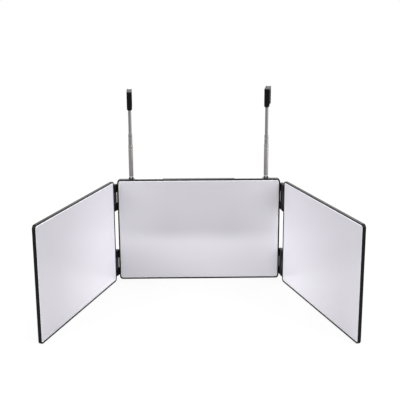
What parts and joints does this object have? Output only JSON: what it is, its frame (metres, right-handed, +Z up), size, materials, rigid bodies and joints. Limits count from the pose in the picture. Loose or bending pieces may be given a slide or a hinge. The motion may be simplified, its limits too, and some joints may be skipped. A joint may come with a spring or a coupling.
{
  "type": "tri-fold mirror",
  "caption": "Tri-fold vanity mirror with folding side wings, hung from telescopic rods with swivelling over-the-door hooks.",
  "frame": {"origin": "middle of the centre panel's bottom face", "axes": "+X to the right of someone looking into the centre mirror, +Y away from them through the panel, +Z up along the rods"},
  "size_m": [0.4812, 0.3509, 0.3445],
  "materials": {
    "mirror": "silvered glass, clear and smooth",
    "foam_tape": "closed-cell foam tape",
    "tray_black": "smooth black moulding, soft gloss",
    "cover_grey": "black moulding, fine matt grain",
    "screw_steel": "plated steel",
    "socket_black": "black moulding",
    "pin_steel": "drawn steel",
    "bracket_grey": "grey coated steel",
    "bracket_dark": "dark coated steel",
    "link_black": "black moulding, soft gloss",
    "rod_steel": "drawn stainless steel tube",
    "sleeve_brass": "plain brass",
    "hook_black": "black moulding, satin",
    "pad_rubber": "soft black rubber"
  },
  "bodies": {
    "centre_panel": {"centre_tray": "tray_black", "centre_mirror": "mirror", "centre_tape": "foam_tape", "middle_cover": "cover_grey", "left_side_cover": "tray_black", "right_side_cover": "tray_black", "cover_screws": "screw_steel", "left_rod_socket": "socket_black", "right_rod_socket": "socket_black", "socket_screws": "screw_steel", "left_pivot_pin": "pin_steel", "right_pivot_pin": "pin_steel", "centre_left_upper_hinge": "bracket_grey", "centre_left_lower_hinge": "bracket_grey", "centre_right_upper_hinge": "bracket_grey", "centre_right_lower_hinge": "bracket_grey", "centre_rivets": "pin_steel"},
    "left_link": {"left_upper_link": "link_black", "left_lower_link": "link_black", "left_link_pins": "pin_steel"},
    "left_wing": {"left_tray": "tray_black", "left_mirror": "mirror", "left_tape": "foam_tape", "left_upper_hinge": "bracket_dark", "left_lower_hinge": "bracket_dark", "left_rivets": "pin_steel"},
    "left_rod": {"left_rod_knuckle": "rod_steel", "left_lower_tube": "rod_steel"},
    "left_middle": {"left_middle_tube": "rod_steel", "left_middle_sleeve": "sleeve_brass"},
    "left_upper": {"left_upper_rod": "rod_steel", "left_upper_sleeve": "sleeve_brass"},
    "left_hook_set": {"left_hook": "hook_black", "left_hook_pads": "pad_rubber", "left_hook_screw": "screw_steel"},
    "right_link": {"right_upper_link": "link_black", "right_lower_link": "link_black", "right_link_pins": "pin_steel"},
    "right_wing": {"right_tray": "tray_black", "right_mirror": "mirror", "right_tape": "foam_tape", "right_upper_hinge": "bracket_dark", "right_lower_hinge": "bracket_dark", "right_rivets": "pin_steel"},
    "right_rod": {"right_rod_knuckle": "rod_steel", "right_lower_tube": "rod_steel"},
    "right_middle": {"right_middle_tube": "rod_steel", "right_middle_sleeve": "sleeve_brass"},
    "right_upper": {"right_upper_rod": "rod_steel", "right_upper_sleeve": "sleeve_brass"},
    "right_hook_set": {"right_hook": "hook_black", "right_hook_pads": "pad_rubber", "right_hook_screw": "screw_steel"}
  },
  "joints": [
    {"name": "left_link_hinge", "type": "hinge", "parent": "centre_panel", "child": "left_link", "pos_m": [-0.1482, 0, 0.093], "axis": [0, 0, 1], "range_deg": [-69.6, 20.4]},
    {"name": "left_wing_hinge", "type": "hinge", "parent": "left_link", "child": "left_wing", "pos_m": [-0.15095, -0.00741, 0.093], "axis": [0, 0, 1], "range_deg": [-92.5, 87.5]},
    {"name": "right_link_hinge", "type": "hinge", "parent": "centre_panel", "child": "right_link", "pos_m": [0.1482, 0, 0.093], "axis": [0, 0, -1], "range_deg": [-81, 9]},
    {"name": "right_wing_hinge", "type": "hinge", "parent": "right_link", "child": "right_wing", "pos_m": [0.15067, -0.01561, 0.093], "axis": [0, 0, -1], "range_deg": [-82.2, 97.8]},
    {"name": "left_rod_fold", "type": "hinge", "parent": "centre_panel", "child": "left_rod", "pos_m": [-0.12, 0.0077, 0.1866], "axis": [-1, 0, 0], "range_deg": [0, 140]},
    {"name": "left_middle_slide", "type": "slide", "parent": "left_rod", "child": "left_middle", "axis": [0, 0, 1], "range_m": [-0.0184, 0.0265]},
    {"name": "left_upper_slide", "type": "slide", "parent": "left_middle", "child": "left_upper", "axis": [0, 0, 1], "range_m": [-0.0383, 0.0076]},
    {"name": "left_hook_swivel", "type": "hinge", "parent": "left_upper", "child": "left_hook_set", "pos_m": [-0.12, 0.0077, 0.3082], "axis": [0, 0, 1], "continuous": true},
    {"name": "right_rod_fold", "type": "hinge", "parent": "centre_panel", "child": "right_rod", "pos_m": [0.12, 0.0077, 0.1866], "axis": [-1, 0, 0], "range_deg": [0, 140]},
    {"name": "right_middle_slide", "type": "slide", "parent": "right_rod", "child": "right_middle", "axis": [0, 0, 1], "range_m": [-0.0152, 0.0297]},
    {"name": "right_upper_slide", "type": "slide", "parent": "right_middle", "child": "right_upper", "axis": [0, 0, 1], "range_m": [-0.0455, 0.0004]},
    {"name": "right_hook_swivel", "type": "hinge", "parent": "right_upper", "child": "right_hook_set", "pos_m": [0.12, 0.0077, 0.3122], "axis": [0, 0, -1], "continuous": true}
  ]
}
